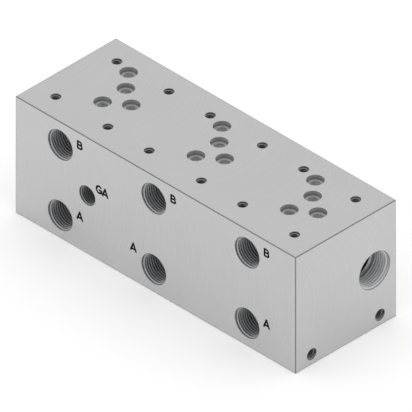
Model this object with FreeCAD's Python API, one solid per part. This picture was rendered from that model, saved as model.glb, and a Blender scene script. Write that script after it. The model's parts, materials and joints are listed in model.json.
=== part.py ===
import FreeCAD, Part
import os
from math import cos, pi, radians, sin, tan

# Valve manifold: a bar of aluminium that carries three size 05 valves on its top face.
# X runs along the bar, Y from the front to the back, Z up. The origin is the centre of the underside.
# The three valves work in series. Oil enters at the left end, goes to the first pad's pressure port,
# and each pad's tank port feeds the next pad's pressure port. The last one leaves at the right end.

# Bar and stations
STATION_PITCH = 82.55
END_MARGIN = 41.275
BAR_DEPTH = 88.9
BAR_HEIGHT = 88.9
EDGE_BREAK = 0.3

# Valve pad, measured from its centre along X and Y
PAD_BOLT_SPACING_X = 46.0
PAD_BOLT_SPACING_Y = 54.0
PAD_PORT_D = 11.1125
PAD_PORT_FLOOR = 3.175
PAD_PASSAGE_D = 7.14
PRESSURE_X = 16.7
WORK_X = 1.6
WORK_Y = 10.3
TANK_X = -9.5
TANK_Y = 23.8

# Work ports on the front face, one above and one below at each station
SIDE_PORT_X = -1.5875
SIDE_PORT_INSET = 17.4625

# Ports on the ends, and the gauge port beside the first station
GALLERY_HEIGHT = 44.45
GALLERY_D = 12.7
INLET_Y = -4.7625
OUTLET_Y = 25.4
GAUGE_X = 22.225

# Links between the stations: drilled from the left end and crossed from the back
UPPER_LINK_HEIGHT = 58.9
UPPER_LINK_FROM_BACK = 9.4

# Tapped holes: diameter at the thread's root, length of thread
PAD_BOLT_D = 6.35
PAD_BOLT_THREAD = 16.0
END_BOLT_D = 7.9375
END_BOLT_THREAD = 19.0
END_BOLT_SPACING = 60.325
END_BOLT_HEIGHT = 7.9375

# Taper pipe threads: diameter of the root at the face, length of thread, tap drill
PIPE_TAPER = 1 / 16
HALF_INCH_D = 21.34
HALF_INCH_THREAD = 16.0
HALF_INCH_DRILL_D = 18.26
THREE_QUARTER_D = 26.67
THREE_QUARTER_THREAD = 15.0
THREE_QUARTER_DRILL_D = 23.81
THREE_QUARTER_DRILL = 19.5
QUARTER_D = 13.72
QUARTER_THREAD = 12.0
QUARTER_DRILL_D = 11.1
EIGHTH_D = 10.29
EIGHTH_THREAD = 9.0
EIGHTH_DRILL_D = 8.33

# Drilling practice: the drill's point angle, and how far a hole goes past the axis or face it meets
DRILL_POINT_ANGLE = 118.0
OVERRUN = 1.0

# Hexagon-socket pipe plugs that close the link drillings
PLUG_LENGTH = 7.5
PLUG_RECESS = 0.5
PLUG_CLEARANCE = 0.03
PLUG_CHAMFER = 0.6
SOCKET_FLATS = 4.76
SOCKET_DEPTH = 4.2

STATION_X = [-STATION_PITCH, 0.0, STATION_PITCH]
RIGHT_END = STATION_PITCH + END_MARGIN
LEFT_END = -RIGHT_END
BACK = BAR_DEPTH / 2
FRONT = -BACK
TOP = BAR_HEIGHT
UPPER_LINK_Y = BACK - UPPER_LINK_FROM_BACK
UPPER_SIDE_HEIGHT = TOP - SIDE_PORT_INSET
LOWER_SIDE_HEIGHT = SIDE_PORT_INSET

HALF_INCH = (HALF_INCH_D, HALF_INCH_THREAD, HALF_INCH_DRILL_D)
THREE_QUARTER = (THREE_QUARTER_D, THREE_QUARTER_THREAD, THREE_QUARTER_DRILL_D)
QUARTER = (QUARTER_D, QUARTER_THREAD, QUARTER_DRILL_D)
EIGHTH = (EIGHTH_D, EIGHTH_THREAD, EIGHTH_DRILL_D)

point = FreeCAD.Vector
FROM_TOP = point(0, 0, -1)
FROM_FRONT = point(0, 1, 0)
FROM_BACK = point(0, -1, 0)
FROM_LEFT = point(1, 0, 0)
FROM_RIGHT = point(-1, 0, 0)


def turned(mouth, into, outline):
    """Solid of revolution about the line from mouth along into; outline is (depth, radius) pairs."""
    corners = [point(radius, 0, depth) for depth, radius in outline]
    corners = [point(0, 0, outline[0][0])] + corners
    corners.append(corners[0])
    section = Part.Face(Part.makePolygon(corners))
    solid = section.revolve(point(0, 0, 0), point(0, 0, 1), 360)
    solid.Placement = FreeCAD.Placement(mouth, FreeCAD.Rotation(point(0, 0, 1), into))
    return solid


def drilled(stages):
    """Outline that drills leave on one axis, the widest first, each ending in its own point."""
    steepness = tan(radians(DRILL_POINT_ANGLE / 2))
    outline = []
    narrower = [diameter for diameter, depth in stages[1:]] + [0.0]
    for (diameter, depth), next_diameter in zip(stages, narrower):
        cone = (diameter - next_diameter) / 2 / steepness
        outline.append((depth, diameter / 2))
        outline.append((depth + cone, next_diameter / 2))
    return outline


def tapped_hole(mouth, into, diameter, thread):
    """Blind hole for a bolt, as wide as the thread's root."""
    return turned(mouth, into, [(-OVERRUN, diameter / 2)] + drilled([(diameter, thread)]))


def pipe_port(mouth, into, size, depth, gallery=()):
    """Taper-threaded port: root of the thread, tap's lead, tap drill to depth, and any gallery beyond."""
    diameter, thread, drill_d = size
    end_radius = diameter / 2 - thread * PIPE_TAPER / 2
    lead = end_radius - drill_d / 2
    outline = [
        (-OVERRUN, diameter / 2 + OVERRUN * PIPE_TAPER / 2),
        (thread, end_radius),
        (thread + lead, drill_d / 2),
    ]
    return turned(mouth, into, outline + drilled([(drill_d, depth), *gallery]))


def pad_port(x, y, bottom):
    """Port in a valve pad: the flat-floored mouth, and the passage down to height bottom."""
    outline = [
        (-OVERRUN, PAD_PORT_D / 2),
        (PAD_PORT_FLOOR, PAD_PORT_D / 2),
        (PAD_PORT_FLOOR, PAD_PASSAGE_D / 2),
    ]
    return turned(point(x, y, TOP), FROM_TOP, outline + drilled([(PAD_PASSAGE_D, TOP - bottom)]))


def pad_bolt_holes(x):
    """The four tapped holes that hold one valve."""
    holes = []
    for side in (-1, 1):
        for row in (-1, 1):
            mouth = point(x + side * PAD_BOLT_SPACING_X / 2, row * PAD_BOLT_SPACING_Y / 2, TOP)
            holes.append(tapped_hole(mouth, FROM_TOP, PAD_BOLT_D, PAD_BOLT_THREAD))
    return holes


def work_ports(x):
    """A station's two pad ports with the side ports that they lead to, upper and lower."""
    cuts = []
    for row, height in ((-1, UPPER_SIDE_HEIGHT), (1, LOWER_SIDE_HEIGHT)):
        pad_y = row * WORK_Y
        mouth = point(x + SIDE_PORT_X, FRONT, height)
        reach = pad_y - FRONT + OVERRUN
        cuts.append(pipe_port(mouth, FROM_FRONT, HALF_INCH, reach))
        cuts.append(pad_port(x + WORK_X, pad_y, height))
    return cuts


def inlet():
    """Inlet at the left end, its gallery under the first pressure port, and the gauge port into it."""
    first = STATION_X[0]
    gauge_x = first + GAUGE_X
    gallery = (GALLERY_D, gauge_x - LEFT_END + OVERRUN)
    mouth = point(LEFT_END, INLET_Y, GALLERY_HEIGHT)
    gauge_mouth = point(gauge_x, FRONT, GALLERY_HEIGHT)
    return [
        pipe_port(mouth, FROM_LEFT, THREE_QUARTER, THREE_QUARTER_DRILL, [gallery]),
        pad_port(first + PRESSURE_X, 0, GALLERY_HEIGHT),
        pipe_port(gauge_mouth, FROM_FRONT, QUARTER, INLET_Y - FRONT + OVERRUN),
    ]


def outlet():
    """Outlet at the right end and its gallery under the last tank port."""
    tank_x = STATION_X[2] + TANK_X
    gallery = (GALLERY_D, RIGHT_END - tank_x + OVERRUN)
    mouth = point(RIGHT_END, OUTLET_Y, GALLERY_HEIGHT)
    return [
        pipe_port(mouth, FROM_RIGHT, THREE_QUARTER, THREE_QUARTER_DRILL, [gallery]),
        pad_port(tank_x, TANK_Y, GALLERY_HEIGHT),
    ]


def lower_link():
    """First tank port to second pressure port, at the height of the galleries."""
    tank_x = STATION_X[0] + TANK_X
    pressure_x = STATION_X[1] + PRESSURE_X
    return [
        pad_port(tank_x, TANK_Y, GALLERY_HEIGHT),
        pipe_port(*LINK_MOUTHS["plug_lower_link"], EIGHTH, pressure_x - LEFT_END + OVERRUN),
        pipe_port(*LINK_MOUTHS["plug_pressure_2"], EIGHTH, BACK + OVERRUN),
        pad_port(pressure_x, 0, GALLERY_HEIGHT),
    ]


def upper_link():
    """Second tank port to third pressure port, above the galleries and near the back."""
    tank_x = STATION_X[1] + TANK_X
    pressure_x = STATION_X[2] + PRESSURE_X
    return [
        pad_port(tank_x, TANK_Y, UPPER_LINK_HEIGHT),
        pipe_port(*LINK_MOUTHS["plug_tank_2"], EIGHTH, BACK - TANK_Y + OVERRUN),
        pipe_port(*LINK_MOUTHS["plug_upper_link"], EIGHTH, pressure_x - LEFT_END + OVERRUN),
        pipe_port(*LINK_MOUTHS["plug_pressure_3"], EIGHTH, BACK + OVERRUN),
        pad_port(pressure_x, 0, UPPER_LINK_HEIGHT),
    ]


def end_bolt_holes():
    """Two tapped holes low in each end, for the feet or bracket that the bar stands on."""
    holes = []
    for end_x, into in ((LEFT_END, FROM_LEFT), (RIGHT_END, FROM_RIGHT)):
        for side in (-1, 1):
            mouth = point(end_x, side * END_BOLT_SPACING / 2, END_BOLT_HEIGHT)
            holes.append(tapped_hole(mouth, into, END_BOLT_D, END_BOLT_THREAD))
    return holes


def sawn_bar():
    """The squared bar with its outer edges broken."""
    corner = point(LEFT_END, FRONT, 0)
    bar = Part.makeBox(RIGHT_END - LEFT_END, BAR_DEPTH, BAR_HEIGHT, corner)
    return bar.makeChamfer(EDGE_BREAK, bar.Edges)


def manifold_block():
    """The bar with every hole drilled into it."""
    cuts = inlet() + outlet() + lower_link() + upper_link() + end_bolt_holes()
    for x in STATION_X:
        cuts += pad_bolt_holes(x) + work_ports(x)
    return sawn_bar().cut(cuts)


def socket(mouth, into):
    """Hexagon socket for a key."""
    across_corners = SOCKET_FLATS / cos(pi / 6)
    ring = [point(across_corners / 2 * cos(i * pi / 3), across_corners / 2 * sin(i * pi / 3), 0)
            for i in range(7)]
    prism = Part.Face(Part.makePolygon(ring)).extrude(point(0, 0, SOCKET_DEPTH))
    prism.Placement = FreeCAD.Placement(mouth, FreeCAD.Rotation(point(0, 0, 1), into))
    return prism


def pipe_plug(mouth, into):
    """Taper plug, screwed in until its face lies just under the block's."""
    radius = EIGHTH_D / 2 - PLUG_RECESS * PIPE_TAPER / 2 - PLUG_CLEARANCE
    outline = [
        (0, radius - PLUG_CHAMFER),
        (PLUG_CHAMFER, radius - PLUG_CHAMFER * PIPE_TAPER / 2),
        (PLUG_LENGTH, radius - PLUG_LENGTH * PIPE_TAPER / 2),
        (PLUG_LENGTH, 0),
    ]
    face = mouth + into * PLUG_RECESS
    return turned(face, into, outline).cut(socket(face, into))


LINK_MOUTHS = {
    "plug_lower_link": (point(LEFT_END, OUTLET_Y, GALLERY_HEIGHT), FROM_LEFT),
    "plug_upper_link": (point(LEFT_END, UPPER_LINK_Y, UPPER_LINK_HEIGHT), FROM_LEFT),
    "plug_pressure_2": (point(STATION_X[1] + PRESSURE_X, BACK, GALLERY_HEIGHT), FROM_BACK),
    "plug_tank_2": (point(STATION_X[1] + TANK_X, BACK, UPPER_LINK_HEIGHT), FROM_BACK),
    "plug_pressure_3": (point(STATION_X[2] + PRESSURE_X, BACK, UPPER_LINK_HEIGHT), FROM_BACK),
}

pieces = {"manifold_block": manifold_block()}
for name, (mouth, into) in LINK_MOUTHS.items():
    pieces[name] = pipe_plug(mouth, into)

os.makedirs("parts", exist_ok=True)
for name, shape in pieces.items():
    shape.exportStep(f"parts/{name}.step")
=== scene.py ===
import json
from math import cos, pi, radians, sin, tan

import bmesh
import bpy
import numpy as np
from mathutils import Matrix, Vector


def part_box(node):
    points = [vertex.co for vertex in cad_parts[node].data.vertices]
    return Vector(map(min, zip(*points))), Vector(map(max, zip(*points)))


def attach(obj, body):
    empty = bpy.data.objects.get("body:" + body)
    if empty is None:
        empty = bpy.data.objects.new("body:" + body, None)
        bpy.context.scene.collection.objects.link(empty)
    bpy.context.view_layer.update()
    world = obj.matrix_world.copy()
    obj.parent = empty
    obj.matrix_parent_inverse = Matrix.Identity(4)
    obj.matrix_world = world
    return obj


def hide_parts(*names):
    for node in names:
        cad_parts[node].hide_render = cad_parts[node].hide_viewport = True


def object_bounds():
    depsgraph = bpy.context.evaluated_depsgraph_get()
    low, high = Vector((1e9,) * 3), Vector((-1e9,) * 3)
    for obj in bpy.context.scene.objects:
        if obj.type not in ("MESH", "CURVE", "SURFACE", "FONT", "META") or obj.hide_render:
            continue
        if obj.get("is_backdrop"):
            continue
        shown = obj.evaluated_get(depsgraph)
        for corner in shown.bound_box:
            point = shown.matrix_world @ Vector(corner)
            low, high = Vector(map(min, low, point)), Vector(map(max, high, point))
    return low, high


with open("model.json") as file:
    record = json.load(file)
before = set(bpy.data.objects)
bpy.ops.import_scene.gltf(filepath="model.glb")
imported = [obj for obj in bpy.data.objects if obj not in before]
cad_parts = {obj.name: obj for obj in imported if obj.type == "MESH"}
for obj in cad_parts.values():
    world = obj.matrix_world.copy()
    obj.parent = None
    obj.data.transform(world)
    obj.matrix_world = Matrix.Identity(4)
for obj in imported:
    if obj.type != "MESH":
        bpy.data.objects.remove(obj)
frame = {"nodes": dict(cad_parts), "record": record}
cad_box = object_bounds()
scene = bpy.context.scene

# Camera. The photograph is a true isometric view from the right, the front and above, so the camera is
# orthographic, 45 degrees round and 35.26 degrees up, and aimed at the middle of the block.
PHOTO_PIXELS = 412
PIXELS_PER_M = 1599.8
AROUND = radians(45)
UP = np.arctan(1 / np.sqrt(2))
AIM_OFFSET = 0.000125
CAMERA_DISTANCE = 1.5
block_low, block_high = (np.array(corner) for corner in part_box("manifold_block"))
towards_camera = np.array([cos(UP) * sin(AROUND), -cos(UP) * cos(AROUND), sin(UP)])
sideways = np.array([cos(AROUND), sin(AROUND), 0.0])
aim = (block_low + block_high) / 2 + sideways * AIM_OFFSET
camera = bpy.data.objects.new("camera", bpy.data.cameras.new("camera"))
camera.data.type = "ORTHO"
camera.data.ortho_scale = PHOTO_PIXELS / PIXELS_PER_M
camera.data.clip_end = 10
camera.location = aim + towards_camera * CAMERA_DISTANCE
camera.rotation_euler = (pi / 2 - UP, 0, AROUND)
scene.collection.objects.link(camera)
scene.camera = camera

# Block. One length of aluminium bar, squared up with a face mill and then drilled and tapped. Its edges are
# broken with a file, and the letters beside its ports are engraved and filled with ink. Lengths here are
# the CAD's, in millimetres.
MM = 0.001
half_length, half_depth, height = block_high / MM
mid_height = height / 2
EDGE_BREAK = 0.3
PAD_BOLT_D = 6.35
PAD_PORT_D = 11.1125
PAD_PORT_FLOOR = 3.175
PASSAGE_D = 7.14
END_BOLT_D = 7.9375
HALF_INCH_D = 21.34
THREE_QUARTER_D = 26.67
QUARTER_D = 13.72
EIGHTH_D = 10.29
PRESSURE_PORT, TANK_PORT = (16.7, 0), (-9.5, 23.8)
WORK_PORT_B, WORK_PORT_A = (1.6, -10.3), (1.6, 10.3)
mounts = {mount["name"]: mount for mount in frame["record"]["mounts"]}


def holes_of(start):
    """The mouth, on the face that the axis leaves, and the way in, of each mount whose name starts so."""
    holes = []
    for name, mount in mounts.items():
        if name.startswith(start):
            out = np.array(mount["axis"], float)
            face = np.where(out > 0, block_high, block_low)
            holes.append((np.where(out != 0, face, mount["pos_m"]) / MM, -out))
    return holes


pads = holes_of("valve_pad")
pattern = mounts["valve_pad_1"]["dims"]
reach_x, reach_y = pattern["spacing_x_mm"] / 2, pattern["spacing_y_mm"] / 2
pad_bolts = [(pad + (x, y, 0), down) for pad, down in pads
             for x in (-reach_x, reach_x) for y in (-reach_y, reach_y)]
pad_ports = [(pad + (x, y, 0), down) for pad, down in pads
             for x, y in (PRESSURE_PORT, WORK_PORT_B, WORK_PORT_A, TANK_PORT)]
work_ports = holes_of("work_port")
gauge_ports = holes_of("gauge_port")
end_ports = holes_of("outlet_port") + holes_of("inlet_port")
end_bolts = holes_of("end_bolt")
plug_holes = []
for name in frame["nodes"]:
    if name.startswith("plug_"):
        x, y, z = sum(np.array(corner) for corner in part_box(name)) / 2 / MM
        if name.endswith("link"):
            plug_holes.append((np.array([-half_length, y, z]), np.array([1.0, 0, 0])))
        else:
            plug_holes.append((np.array([x, half_depth, z]), np.array([0, -1.0, 0])))


def linear(hex_code):
    """Linear RGBA of an sRGB hex: c / 12.92 up to 0.04045, else ((c + 0.055) / 1.055) to the power 2.4."""
    channels = np.array([int(hex_code[i:i + 2], 16) / 255 for i in (0, 2, 4)])
    low, high = channels / 12.92, ((channels + 0.055) / 1.055) ** 2.4
    return (*np.where(channels <= 0.04045, low, high), 1.0)


def add(tree, kind, inputs, **settings):
    """Adds a node and gives back its outputs; inputs maps a socket to a value or to the output feeding it."""
    made = tree.nodes.new(kind)
    for name, value in settings.items():
        setattr(made, name, value)
    for socket, value in inputs.items():
        if isinstance(value, bpy.types.NodeSocket):
            tree.links.new(value, made.inputs[socket])
        else:
            made.inputs[socket].default_value = value
    return made.outputs


def surface(name):
    """A new node material: itself, its tree, its principled shader and the place on the object in mm."""
    material = bpy.data.materials.new(name)
    material.use_nodes = True
    tree = material.node_tree
    place = add(tree, "ShaderNodeTexCoord", {})["Object"]
    place = add(tree, "ShaderNodeVectorMath", {0: place, "Scale": 1 / MM}, operation="SCALE")[0]
    return material, tree, tree.nodes["Principled BSDF"], place


def depths_at(tree, place):
    """Depths under the block's faces along X, Y and Z: half its size less the distance from its middle."""
    half_size = (half_length, half_depth, mid_height)
    away = add(tree, "ShaderNodeVectorMath", {0: place, 1: (0, 0, mid_height)}, operation="SUBTRACT")[0]
    away = add(tree, "ShaderNodeVectorMath", {0: away}, operation="ABSOLUTE")[0]
    depths = add(tree, "ShaderNodeVectorMath", {0: half_size, 1: away}, operation="SUBTRACT")[0]
    return add(tree, "ShaderNodeSeparateXYZ", {0: depths})


# Face-milled aluminium gives the eye bright satin metal crossed by the arcs that a wide face mill leaves as
# it is fed along. Along each broken edge a darker band is painted shade, standing for the shade the edge
# takes. The real feed of 0.25 mm a turn and grain of 0.1 mm are too fine to show and are drawn at 1.6 and
# 0.7 mm. The clouds are as wide as a cloth's wipe.
FEED = 1.6
MILL_RADIUS = 63.0
EDGE_SHADE_BAND = 0.45
MARK_DEPTH = 0.02
MARK_STRENGTH = 0.25
CLOUD = 28.0
GRAIN = 0.7
ARCS_PART, CLOUDS_PART, GRAIN_PART = 0.55, 0.3, 0.15
# A face looks along an axis where more than this of its normal does.
MOSTLY_ALONG = 0.7
# The ends that a Map Range node takes: what a noise seldom leaves, coming in, and the roughness going out.
NOISE_SPAN = {1: 0.3, 2: 0.7}
SATIN = {3: 0.36, 4: 0.5}
milled, tree, shader, place = surface("face_milled_aluminium")
xyz = add(tree, "ShaderNodeSeparateXYZ", {0: place})
facing = add(tree, "ShaderNodeNewGeometry", {})["True Normal"]
facing = add(tree, "ShaderNodeVectorMath", {0: facing}, operation="ABSOLUTE")[0]
facing = add(tree, "ShaderNodeSeparateXYZ", {0: facing})
on_end = add(tree, "ShaderNodeMath", {0: facing["X"], 1: MOSTLY_ALONG}, operation="GREATER_THAN")[0]
on_top = add(tree, "ShaderNodeMath", {0: facing["Z"], 1: MOSTLY_ALONG}, operation="GREATER_THAN")[0]
level = add(tree, "ShaderNodeMath", {0: xyz["Z"], 1: mid_height}, operation="SUBTRACT")[0]
along = add(tree, "ShaderNodeMix", {"Factor": on_end, 2: xyz["X"], 3: xyz["Y"]})[0]
across = add(tree, "ShaderNodeMix", {"Factor": on_top, 2: level, 3: xyz["Y"]})[0]
square = add(tree, "ShaderNodeMath", {0: across, 1: 2.0}, operation="POWER")[0]
square = add(tree, "ShaderNodeMath", {0: MILL_RADIUS ** 2, 1: square}, operation="SUBTRACT")[0]
bow = add(tree, "ShaderNodeMath", {0: square}, operation="SQRT")[0]
swept = add(tree, "ShaderNodeMath", {0: along, 1: bow}, operation="SUBTRACT")[0]
turns = add(tree, "ShaderNodeMath", {0: swept, 1: FEED}, operation="DIVIDE")[0]
arcs = add(tree, "ShaderNodeTexNoise", {"W": turns, "Scale": 1.0, "Detail": 2.0}, noise_dimensions="1D")[0]
clouds = add(tree, "ShaderNodeTexNoise", {"Vector": place, "Scale": 1 / CLOUD, "Detail": 3.0})[0]
grain = add(tree, "ShaderNodeTexNoise", {"Vector": place, "Scale": 1 / GRAIN, "Detail": 1.0})[0]
shade = add(tree, "ShaderNodeMath", {0: arcs, 1: ARCS_PART, 2: 0.0}, operation="MULTIPLY_ADD")[0]
shade = add(tree, "ShaderNodeMath", {0: clouds, 1: CLOUDS_PART, 2: shade}, operation="MULTIPLY_ADD")[0]
shade = add(tree, "ShaderNodeMath", {0: grain, 1: GRAIN_PART, 2: shade}, operation="MULTIPLY_ADD")[0]
tone = add(tree, "ShaderNodeMapRange", {"Value": shade, **NOISE_SPAN})[0]
tint = add(tree, "ShaderNodeMix", {0: tone, 6: linear("bcbcbc"), 7: linear("c7c7c7")}, data_type="RGBA")[2]
depths = depths_at(tree, place)
lesser = add(tree, "ShaderNodeMath", {0: depths["X"], 1: depths["Y"]}, operation="MINIMUM")[0]
greater = add(tree, "ShaderNodeMath", {0: depths["X"], 1: depths["Y"]}, operation="MAXIMUM")[0]
greater = add(tree, "ShaderNodeMath", {0: greater, 1: depths["Z"]}, operation="MINIMUM")[0]
to_edge = add(tree, "ShaderNodeMath", {0: lesser, 1: greater}, operation="MAXIMUM")[0]
# Painted shade along each broken edge: the metal turns darker from the edge out to band_end.
band_end = EDGE_BREAK + EDGE_SHADE_BAND
edge_shade = add(tree, "ShaderNodeMapRange", {"Value": to_edge, 1: EDGE_BREAK, 2: band_end, 3: 1.0, 4: 0.0})[0]
tint = add(tree, "ShaderNodeMix", {0: edge_shade, 6: tint, 7: linear("77787a")}, data_type="RGBA")[2]
rough = add(tree, "ShaderNodeMapRange", {"Value": shade, **NOISE_SPAN, **SATIN})[0]
marks = {"Height": arcs, "Strength": MARK_STRENGTH, "Distance": MARK_DEPTH * MM}
relief = add(tree, "ShaderNodeBump", marks)[0]
tree.links.new(tint, shader.inputs["Base Color"])
tree.links.new(rough, shader.inputs["Roughness"])
tree.links.new(relief, shader.inputs["Normal"])
shader.inputs["Metallic"].default_value = 1.0

# Drilled and tapped aluminium gives the eye a rougher, greyer wall than the faces, mottled with chatter.
# Painted shade darkens most walls from the mouth down, and a pad port's floor is painted dark; the
# passage below it is painted lighter with depth, painted light where there is shade. Some walls are made
# less metallic, to lighten them. Real chatter marks lie about 0.2 mm apart, too fine to show, so they are
# drawn at 0.9 mm.
CHATTER = 0.9
MOTTLE = 0.25
DRILLED = {3: 0.34, 4: 0.5}


def bore_metal_painted_by_depth(name, outer, painted_depth_tint, deepest, metallic):
    """Cut aluminium with painted light and shade by depth: its colour goes from outer at the block's faces to
    painted_depth_tint at the depth deepest.
    """
    material, tree, shader, place = surface(name)
    depths = depths_at(tree, place)
    depth = add(tree, "ShaderNodeMath", {0: depths["X"], 1: depths["Y"]}, operation="MINIMUM")[0]
    depth = add(tree, "ShaderNodeMath", {0: depth, 1: depths["Z"]}, operation="MINIMUM")[0]
    # Painted shade for most holes and painted light for the pad passages: the colour moves towards
    # painted_depth_tint with depth.
    down = add(tree, "ShaderNodeMapRange", {"Value": depth, 1: 0.0, 2: deepest})[0]
    chatter = add(tree, "ShaderNodeTexNoise", {"Vector": place, "Scale": 1 / CHATTER, "Detail": 2.0})[0]
    mottle = add(tree, "ShaderNodeMath", {0: chatter, 1: MOTTLE, 2: -MOTTLE / 2}, operation="MULTIPLY_ADD")[0]
    painted_depth_and_mottle = add(tree, "ShaderNodeMath", {0: down, 1: mottle}, operation="ADD", use_clamp=True)[0]
    tint = add(tree, "ShaderNodeMix", {0: painted_depth_and_mottle, 6: linear(outer), 7: linear(painted_depth_tint)}, data_type="RGBA")[2]
    rough = add(tree, "ShaderNodeMapRange", {"Value": chatter, **NOISE_SPAN, **DRILLED})[0]
    tree.links.new(tint, shader.inputs["Base Color"])
    tree.links.new(rough, shader.inputs["Roughness"])
    shader.inputs["Metallic"].default_value = metallic
    return material


# Each has its colour at the faces, its painted colour at a depth, that depth, and how metallic it is. They
# are lit and shaded copies of one aluminium, one for each kind of hole: the ports painted darker with depth,
# the end ports painted lighter, the pad mouths painted dark down to their floors and the pad floors'
# passages painted light. The one darkest at the mouth is painted shade for the screw holes and the gauge
# port, which are narrow.
port_wall_shade = bore_metal_painted_by_depth("drilled_aluminium_painted_shade", "d0d1d2", "747577", 14.0, 1.0)
end_port_light_and_shade = bore_metal_painted_by_depth("bored_aluminium_painted_light_and_shade", "d2d3d4", "a6a7a8", 24.0, 0.3)
narrow_bore_shade = bore_metal_painted_by_depth("narrow_bore_aluminium_painted_shade", "929394", "727374", 10.0, 1.0)
pad_mouth_shade = bore_metal_painted_by_depth("reamed_aluminium_painted_shade", "dcddde", "76777a", PAD_PORT_FLOOR, 1.0)
pad_floor_light_and_shade = bore_metal_painted_by_depth("spot_faced_aluminium_painted_light_and_shade", "7e7f80", "f6f6f6", 7.0, 0.55)

# Deburred aluminium: the narrow ring round each hole's mouth, left by a countersink turned by hand, is
# painted dark, painted shade that draws a dark line round the mouth. Its nicks are really about 0.3 mm and
# are drawn at 1.5 mm, to show.
NICK = 1.5
rim_shade, tree, shader, place = surface("rim_aluminium_painted_shade")
nicks = add(tree, "ShaderNodeTexNoise", {"Vector": place, "Scale": 1 / NICK, "Detail": 2.0})[0]
tone = add(tree, "ShaderNodeMapRange", {"Value": nicks, **NOISE_SPAN})[0]
tint = add(tree, "ShaderNodeMix", {0: tone, 6: linear("6c6c6c"), 7: linear("7c7c7c")}, data_type="RGBA")[2]
tree.links.new(tint, shader.inputs["Base Color"])
shader.inputs["Metallic"].default_value = 1.0
shader.inputs["Roughness"].default_value = 0.5

# Marking ink gives the eye a matt, slightly uneven black: a wax pressed into the letters and wiped level.
# Its patches are a little narrower than a stroke.
WIPE = 1.2
ink, tree, shader, place = surface("black_marking_ink")
wipe = add(tree, "ShaderNodeTexNoise", {"Vector": place, "Scale": 1 / WIPE, "Detail": 2.0})[0]
tint = add(tree, "ShaderNodeMix", {0: wipe, 6: linear("0e0e0e"), 7: linear("1e1e1e")}, data_type="RGBA")[2]
tree.links.new(tint, shader.inputs["Base Color"])
shader.inputs["Roughness"].default_value = 0.8
shader.inputs["Specular IOR Level"].default_value = 0.15


def square_to(into):
    """Two unit vectors square to a hole's axis; with the way into the hole they are right-handed."""
    across = np.array([1.0, 0, 0]) if abs(into[0]) < 0.5 else np.array([0, 1.0, 0])
    return across, np.cross(into, across)


def mesh_object(name, points, faces, *materials):
    """Object at the origin with a mesh of these faces, its points given in millimetres."""
    mesh = bpy.data.meshes.new(name)
    mesh.from_pydata((points * MM).tolist(), [], faces)
    for material in materials:
        mesh.materials.append(material)
    made = bpy.data.objects.new(name, mesh)
    scene.collection.objects.link(made)
    return made


def between(near, far, start):
    """Faces of the closed solid between two rings of as many points, numbered from start, near ring first."""
    count = len(near)
    ring = np.arange(start, start + count)
    after = np.roll(ring, -1)
    sides = np.column_stack([ring, after, after + count, ring + count])
    return sides.tolist() + [ring[::-1].tolist(), (ring + count).tolist()]


# Rims of the holes, cut with frusta at 45 degrees.
RIM = 0.3
RIM_STEPS = 64


def frusta(holes, diameter):
    """Frusta on the holes' axes: radius = diameter / 2 + RIM - depth, at depths from -RIM to 2 * RIM."""
    turn = np.linspace(0, 2 * pi, RIM_STEPS, endpoint=False)
    points, faces = [], []
    for mouth, into in holes:
        across, up = square_to(into)
        circle = np.outer(np.cos(turn), across) + np.outer(np.sin(turn), up)
        rings = [mouth + into * depth + circle * (diameter / 2 + RIM - depth) for depth in (-RIM, 2 * RIM)]
        faces += between(*rings, RIM_STEPS * len(points))
        points += rings
    return np.vstack(points), faces


# Letters of the ports, each three strokes of a round engraving tool. The strokes of a letter run into one
# another, so they are cut one after another, each a little narrower and deeper than the one before, because
# walls and floors that coincide spoil a cut.
STROKE = 1.5
CAP_HEIGHT = 6.6
LETTER_WIDTH = 5.1
ENGRAVED = 0.4
UNEVEN = 0.02
ROUND_STEPS = 24
END_STEPS = 10
WAIST = 0.13
UPPER_BOWL, LOWER_BOWL = (0.1, 1.35), (0.35, 1.5)
CROSSBAR = -1.45
G_OPENING = (48, 312)
G_BAR_START, G_BAR_HEIGHT, G_LIP_FOOT = 0.4, -0.3, 0.72
LETTER_BESIDE = 17.2
MIDDLE_A_BESIDE = -18.0
LETTER_ABOVE = 8.1
GAUGE_LETTERS = (("G", 10.425), ("A", 15.725))
GAUGE_LETTERS_ABOVE = 9.75
tall, wide = (CAP_HEIGHT - STROKE) / 2, (LETTER_WIDTH - STROKE) / 2
foot, peak, bar = wide * 1.25, tall * 1.07, wide * 0.7
belly, lip = wide * 1.25, wide * 1.15


def bend(x, z, radius_x, radius_z, first, last):
    """Points of an ellipse about (x, z) from the angle first to the angle last, in degrees."""
    turn = np.radians(np.linspace(first, last, ROUND_STEPS))[:, None]
    return np.array([x, z]) + np.hstack([radius_x * np.cos(turn), radius_z * np.sin(turn)])


upper_bowl = bend(UPPER_BOWL[0], (tall + WAIST) / 2, UPPER_BOWL[1], (tall - WAIST) / 2, 90, -90)
lower_bowl = bend(LOWER_BOWL[0], (WAIST - tall) / 2, LOWER_BOWL[1], (tall + WAIST) / 2, 90, -90)
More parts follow.
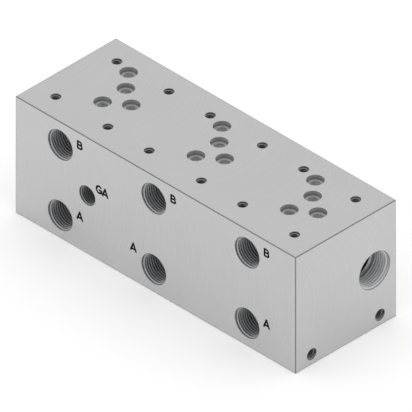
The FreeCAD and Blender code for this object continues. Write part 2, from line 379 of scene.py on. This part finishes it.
# The three strokes of each letter about its middle, in the order in which they are cut.
GLYPHS = {
    "A": [[(foot, -peak), (0, peak)],
          [(-foot, -peak), (0, peak)],
          [(-bar, CROSSBAR), (bar, CROSSBAR)]],
    "B": [[(-wide, -tall), (-wide, tall)],
          [(-wide, tall), *upper_bowl, (-wide, WAIST)],
          [(-wide, WAIST), *lower_bowl, (-wide, -tall)]],
    "G": [bend(0, 0, belly, tall, *G_OPENING),
          [(G_BAR_START, G_BAR_HEIGHT), (lip, G_BAR_HEIGHT)],
          [(lip, G_BAR_HEIGHT), (lip, -tall * G_LIP_FOOT)]],
}
(gauge_x, _, gauge_z), _ = gauge_ports[0]
letters = [(letter, gauge_x + beside, gauge_z + GAUGE_LETTERS_ABOVE) for letter, beside in GAUGE_LETTERS]
for (x, _, z), _ in work_ports:
    letter = "B" if z > mid_height else "A"
    in_the_middle = abs(x) < half_length / 3
    beside = MIDDLE_A_BESIDE if letter == "A" and in_the_middle else LETTER_BESIDE
    letters.append((letter, x + beside, z + LETTER_ABOVE))


def outline(path, width):
    """Outline of a stroke: the path moved half a width to each side, closed by half circles."""
    way = np.gradient(path, axis=0)
    way *= width / 2 / np.linalg.norm(way, axis=1)[:, None]
    side = np.column_stack([-way[:, 1], way[:, 0]])
    turn = np.linspace(0, pi, END_STEPS)[1:-1, None]
    far_end = path[-1] + np.cos(turn) * side[-1] + np.sin(turn) * way[-1]
    near_end = path[0] - np.cos(turn) * side[0] - np.sin(turn) * way[0]
    return np.vstack([path + side, far_end, (path - side)[::-1], near_end])


def strokes(paths, width, depth):
    """Closed solids of strokes through the front face, from depth outside it to depth inside it."""
    points, faces = [], []
    for path in paths:
        drawn = outline(path, width)
        rings = [np.column_stack([drawn[:, 0], np.full(len(drawn), y), drawn[:, 1]])
                 for y in (-half_depth - depth, -half_depth + depth)]
        faces += between(*rings, sum(len(ring) for ring in points))
        points += rings
    return np.vstack(points), faces


# Mesh. A merged copy of the solid, of plain points and faces so that its flat faces shade flat. The rims and
# letters are cut into it and bring their own finishes.
FINISHES = (milled, port_wall_shade, rim_shade, ink, end_port_light_and_shade, narrow_bore_shade, pad_mouth_shade, pad_floor_light_and_shade)
SAME_POINT = 1e-7
merged = bmesh.new()
merged.from_mesh(frame["nodes"]["manifold_block"].data)
bmesh.ops.remove_doubles(merged, verts=merged.verts, dist=SAME_POINT)
solid = bpy.data.meshes.new("merged_solid")
merged.to_mesh(solid)
merged.free()
points, triangles = np.zeros(len(solid.vertices) * 3), np.zeros(len(solid.loops), np.int32)
solid.vertices.foreach_get("co", points)
solid.loops.foreach_get("vertex_index", triangles)
bpy.data.meshes.remove(solid)
points, triangles = points.reshape(-1, 3) / MM, triangles.reshape(-1, 3).tolist()
block = mesh_object("machined_block", points, triangles, *FINISHES)
cutters = []
for holes, diameter in ((pad_bolts, PAD_BOLT_D), (pad_ports, PAD_PORT_D), (work_ports, HALF_INCH_D),
                        (gauge_ports, QUARTER_D), (end_ports, THREE_QUARTER_D), (end_bolts, END_BOLT_D),
                        (plug_holes, EIGHTH_D)):
    cutters.append(mesh_object(f"rims_{len(cutters)}", *frusta(holes, diameter), rim_shade))
for turn in range(len(GLYPHS["A"])):
    uneven = UNEVEN * turn
    paths = [np.array(GLYPHS[letter][turn]) + (x, z) for letter, x, z in letters]
    cutters.append(mesh_object(f"strokes_{turn}", *strokes(paths, STROKE - uneven, ENGRAVED + uneven), ink))
for cutter in cutters:
    cut = block.modifiers.new(cutter.name, "BOOLEAN")
    cut.object = cutter
    cut.solver = "EXACT"
    cut.material_mode = "TRANSFER"
finished = bpy.data.meshes.new_from_object(block.evaluated_get(bpy.context.evaluated_depsgraph_get()))
block.modifiers.clear()
block.data = finished
for cutter in cutters:
    bpy.data.objects.remove(cutter)

# Finishes by place: what is not on a face or a filed edge is the wall of a hole, and the holes tell which,
# each kind of hole getting its own copy of the metal with painted light and shade. The depths are how far
# into a hole its finish reaches, where the drill or the gallery behind it begins.
ON_FACE = 0.01
NEAR_WALL = 0.1
SQUARE_ON = 0.999
SHARP = radians(25)
END_PORT_DEEP = 15.2
PAD_BOLT_DEEP = 20.0
END_BOLT_DEEP = 25.0
GAUGE_DEEP = 12.2
count = len(finished.polygons)
centres, normals, index = np.zeros(count * 3), np.zeros(count * 3), np.zeros(count, np.int32)
finished.polygons.foreach_get("center", centres)
finished.polygons.foreach_get("normal", normals)
finished.polygons.foreach_get("material_index", index)
centres, normals = centres.reshape(-1, 3) / MM, normals.reshape(-1, 3)
inset = np.array([half_length, half_depth, mid_height]) - np.abs(centres - (0, 0, mid_height))
inset.sort(axis=1)


def within(holes, diameter, deepest):
    """True for each polygon in one of the holes: inside its diameter, from the mouth to the depth deepest."""
    found = np.zeros(count, bool)
    for mouth, into in holes:
        depth = (centres - mouth) @ into
        from_axis = np.linalg.norm(centres - mouth - np.outer(depth, into), axis=1)
        found |= (from_axis < diameter / 2 + NEAR_WALL) & (depth < deepest)
    return found


square_on = np.abs(normals).max(axis=1) > SQUARE_ON
plain = (square_on & (inset[:, 0] < ON_FACE)) | (~square_on & (inset[:, 1] < EDGE_BREAK + ON_FACE))
wall = (index == FINISHES.index(milled)) & ~plain
in_mouth = within(pad_ports, PAD_PORT_D, PAD_PORT_FLOOR - ON_FACE)
on_floor = within(pad_ports, PAD_PORT_D, PAD_PORT_FLOOR + ON_FACE) & ~in_mouth
in_passage = within(pad_ports, PASSAGE_D, height)
shaded_narrow_bores = within(pad_bolts, PAD_BOLT_D, PAD_BOLT_DEEP) | within(end_bolts, END_BOLT_D, END_BOLT_DEEP)
shaded_narrow_bores |= within(gauge_ports, QUARTER_D, GAUGE_DEEP)
index[wall] = FINISHES.index(port_wall_shade)
index[wall & within(end_ports, THREE_QUARTER_D, END_PORT_DEEP)] = FINISHES.index(end_port_light_and_shade)
index[wall & in_mouth] = FINISHES.index(pad_mouth_shade)
index[wall & (on_floor | in_passage)] = FINISHES.index(pad_floor_light_and_shade)
index[wall & shaded_narrow_bores] = FINISHES.index(narrow_bore_shade)
finished.polygons.foreach_set("material_index", index)
finished.polygons.foreach_set("use_smooth", ~plain)
finished.set_sharp_from_angle(angle=SHARP)
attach(block, "root")
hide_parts("manifold_block")

# Threads. Cut into the block with taps: straight for the screws, 1 in 16 taper for the pipe fittings. Each
# is the ridge that the tap leaves standing between its grooves, in a metal with painted shade that darkens
# it from the mouth down.
# Heights, half widths and leads are in pitches, the depth that a ridge's foot is sunk in the wall in mm.
INCH = 25.4
TAPER = 1 / 16
FLANK = radians(30)
RIDGE_HEIGHT = 0.4
RIDGE_CREST = 0.07
RIDGE_SUNK = 0.03
LEAD_IN = 0.3
LEAD_OUT = 0.1
RISE = 0.25
LEAST_HEIGHT = 0.02
tapped_metal_shade = bore_metal_painted_by_depth("tapped_aluminium_painted_shade", "a8a9aa", "8c8d8f", 12.0, 0.8)


def ridges(holes, root_d, turns_per_inch, length, taper, steps):
    """Helical ridges: radius = root / 2 - taper * depth / 2 - the ridge's height, which fades at each end."""
    pitch = INCH / turns_per_inch
    tip, crest = RIDGE_HEIGHT * pitch, RIDGE_CREST * pitch
    foot = crest + tip * tan(FLANK)
    profile = np.array([(-foot, -RIDGE_SUNK), (-crest, tip), (crest, tip), (foot, -RIDGE_SUNK)])
    last = (length - 2 * foot) / pitch - LEAD_IN - LEAD_OUT
    turns = np.linspace(0, last, int(steps * length / pitch))[:, None]
    fade = np.clip(np.minimum(turns, last - turns) / RISE, LEAST_HEIGHT, 1)
    depth = foot + LEAD_IN * pitch + turns * pitch + profile[:, 0]
    radius = root_d / 2 - taper * depth / 2 - np.where(profile[:, 1] > 0, profile[:, 1] * fade, profile[:, 1])
    angle = 2 * pi * turns + 0 * depth
    grid = np.arange(depth.size).reshape(depth.shape)
    this, after = grid[:-1], grid[1:]
    quads = np.stack([this, np.roll(this, -1, 1), np.roll(after, -1, 1), after], -1).reshape(-1, 4)
    quads = np.vstack([quads, grid[0][::-1], grid[-1]])
    points, faces = [], []
    for mouth, into in holes:
        across, up = square_to(into)
        spun = radius[..., None] * (np.cos(angle)[..., None] * across + np.sin(angle)[..., None] * up)
        faces.append(quads + len(points) * depth.size)
        points.append((mouth + spun + depth[..., None] * into).reshape(-1, 3))
    return np.vstack(points), np.vstack(faces).tolist()


# Each row: the finish, the holes, the root diameter, turns an inch, length, taper and steps a turn.
THREADS = {
    "pad_bolt_threads": (narrow_bore_shade, pad_bolts, PAD_BOLT_D, 20, 15.5, 0, 32),
    "end_bolt_threads": (narrow_bore_shade, end_bolts, END_BOLT_D, 18, 18.5, 0, 36),
    "work_port_threads": (tapped_metal_shade, work_ports, HALF_INCH_D, 14, 15.5, TAPER, 64),
    "gauge_port_thread": (narrow_bore_shade, gauge_ports, QUARTER_D, 18, 11.5, TAPER, 48),
    "end_port_threads": (end_port_light_and_shade, end_ports, THREE_QUARTER_D, 14, 14.5, TAPER, 72),
}
for name, (finish, *measures) in THREADS.items():
    threads = mesh_object(name, *ridges(*measures), finish)
    threads.data.shade_smooth()
    threads.data.set_sharp_from_angle(angle=SHARP)
    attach(threads, "root")

# Plugs. Hexagon-socket taper plugs of alloy steel, screwed into the mouths of the drillings that no port
# uses until they lie just under the face. Blackened in hot salts, they give the eye a dark satin skin with
# a faint cloudy bloom.
BLOOM = 2.5
BLACKENED = {3: 0.32, 4: 0.48}
blackened, tree, shader, place = surface("blackened_steel")
bloom = add(tree, "ShaderNodeTexNoise", {"Vector": place, "Scale": 1 / BLOOM, "Detail": 3.0})[0]
tone = add(tree, "ShaderNodeMapRange", {"Value": bloom, **NOISE_SPAN})[0]
tint = add(tree, "ShaderNodeMix", {0: tone, 6: linear("2b2b2e"), 7: linear("414145")}, data_type="RGBA")[2]
rough = add(tree, "ShaderNodeMapRange", {"Value": bloom, **NOISE_SPAN, **BLACKENED})[0]
tree.links.new(tint, shader.inputs["Base Color"])
tree.links.new(rough, shader.inputs["Roughness"])
shader.inputs["Metallic"].default_value = 1.0
for name, node in frame["nodes"].items():
    if name.startswith("plug_"):
        node.data.materials.clear()
        node.data.materials.append(blackened)

# Studio. White paper under the block, which keeps its soft shadow, in even white light from all round. The
# paper is lifted to white for the camera, and a little for what the metal mirrors. The block's weight
# dents the paper by a hair, so that its underside and the paper don't lie in one plane.
PAPER_SIDE = 8000.0
DENT = 0.05
PAPER_WHITE = 0.9
LIFT_SEEN, LIFT_MIRRORED = 0.19, 0.22
paper, tree, shader, place = surface("white_paper")
seen = add(tree, "ShaderNodeLightPath", {})
lift = add(tree, "ShaderNodeMath", {0: seen["Is Camera Ray"], 1: LIFT_SEEN}, operation="MULTIPLY")[0]
mirrored = {0: seen["Is Glossy Ray"], 1: LIFT_MIRRORED, 2: lift}
lift = add(tree, "ShaderNodeMath", mirrored, operation="MULTIPLY_ADD")[0]
tree.links.new(lift, shader.inputs["Emission Strength"])
shader.inputs["Emission Color"].default_value = (1, 1, 1, 1)
shader.inputs["Base Color"].default_value = (PAPER_WHITE, PAPER_WHITE, PAPER_WHITE, 1)
shader.inputs["Roughness"].default_value = 1.0
shader.inputs["Specular IOR Level"].default_value = 0.0
corners = np.array([(-1, -1, 0), (1, -1, 0), (1, 1, 0), (-1, 1, 0)]) * PAPER_SIDE / 2
corners[:, 2] = DENT
floor = mesh_object("floor", corners, [(0, 1, 2, 3)], paper)
floor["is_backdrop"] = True
world = bpy.data.worlds.new("studio")
world.use_nodes = True
world.node_tree.nodes["Background"].inputs["Color"].default_value = (1, 1, 1, 1)
world.node_tree.nodes["Background"].inputs["Strength"].default_value = 1.0
scene.world = world
scene.view_settings.view_transform = "Standard"

boxes = {"cad": cad_box, "visual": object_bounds()}
boxes = {name: [list(corner) for corner in box] for name, box in boxes.items()}
